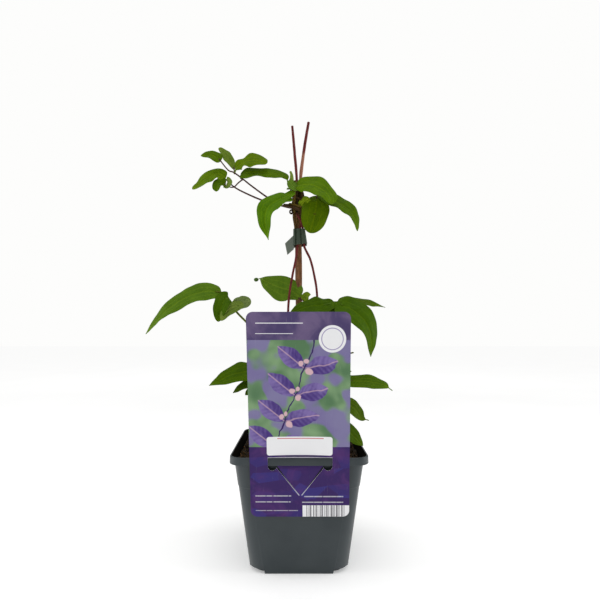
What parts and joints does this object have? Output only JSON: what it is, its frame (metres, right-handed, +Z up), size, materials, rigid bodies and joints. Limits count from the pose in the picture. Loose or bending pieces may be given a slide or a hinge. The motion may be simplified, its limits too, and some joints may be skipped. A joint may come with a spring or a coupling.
{
  "type": "potted climbing clematis plant",
  "caption": "Young climbing clematis clipped to a cane, in a square nursery pot of soil with a hang-on plant label hooked over the rim.",
  "frame": {"origin": "centre of the pot's underside, on the surface that the pot stands on", "axes": "+Z up along the cane, +X to the right and -Y towards the side that the label faces"},
  "size_m": [0.2498, 0.1511, 0.4572],
  "materials": {
    "pot": "satin",
    "soil": "loose potting soil, matte",
    "cane": "raw split wood",
    "stem": "smooth bark",
    "clip": "satin",
    "label": "printed satin card",
    "leaf": "waxy leaf, satin"
  },
  "bodies": {
    "root": {"pot": "pot", "soil": "soil", "cane": "cane", "stem_a": "stem", "stem_b": "stem", "clip": "clip", "label": "label", "upper_left_spray": "leaf", "hanging_leaf": "leaf", "upper_right_leaf": "leaf", "right_hanging_spray": "leaf", "top_shoot": "leaf", "mid_left_spray": "leaf", "mid_right_spray": "leaf", "left_spray": "leaf", "lower_left_spray": "leaf", "right_leaf": "leaf", "right_lower_spray": "leaf", "back_right_spray": "leaf", "back_left_spray": "leaf"}
  },
  "joints": []
}
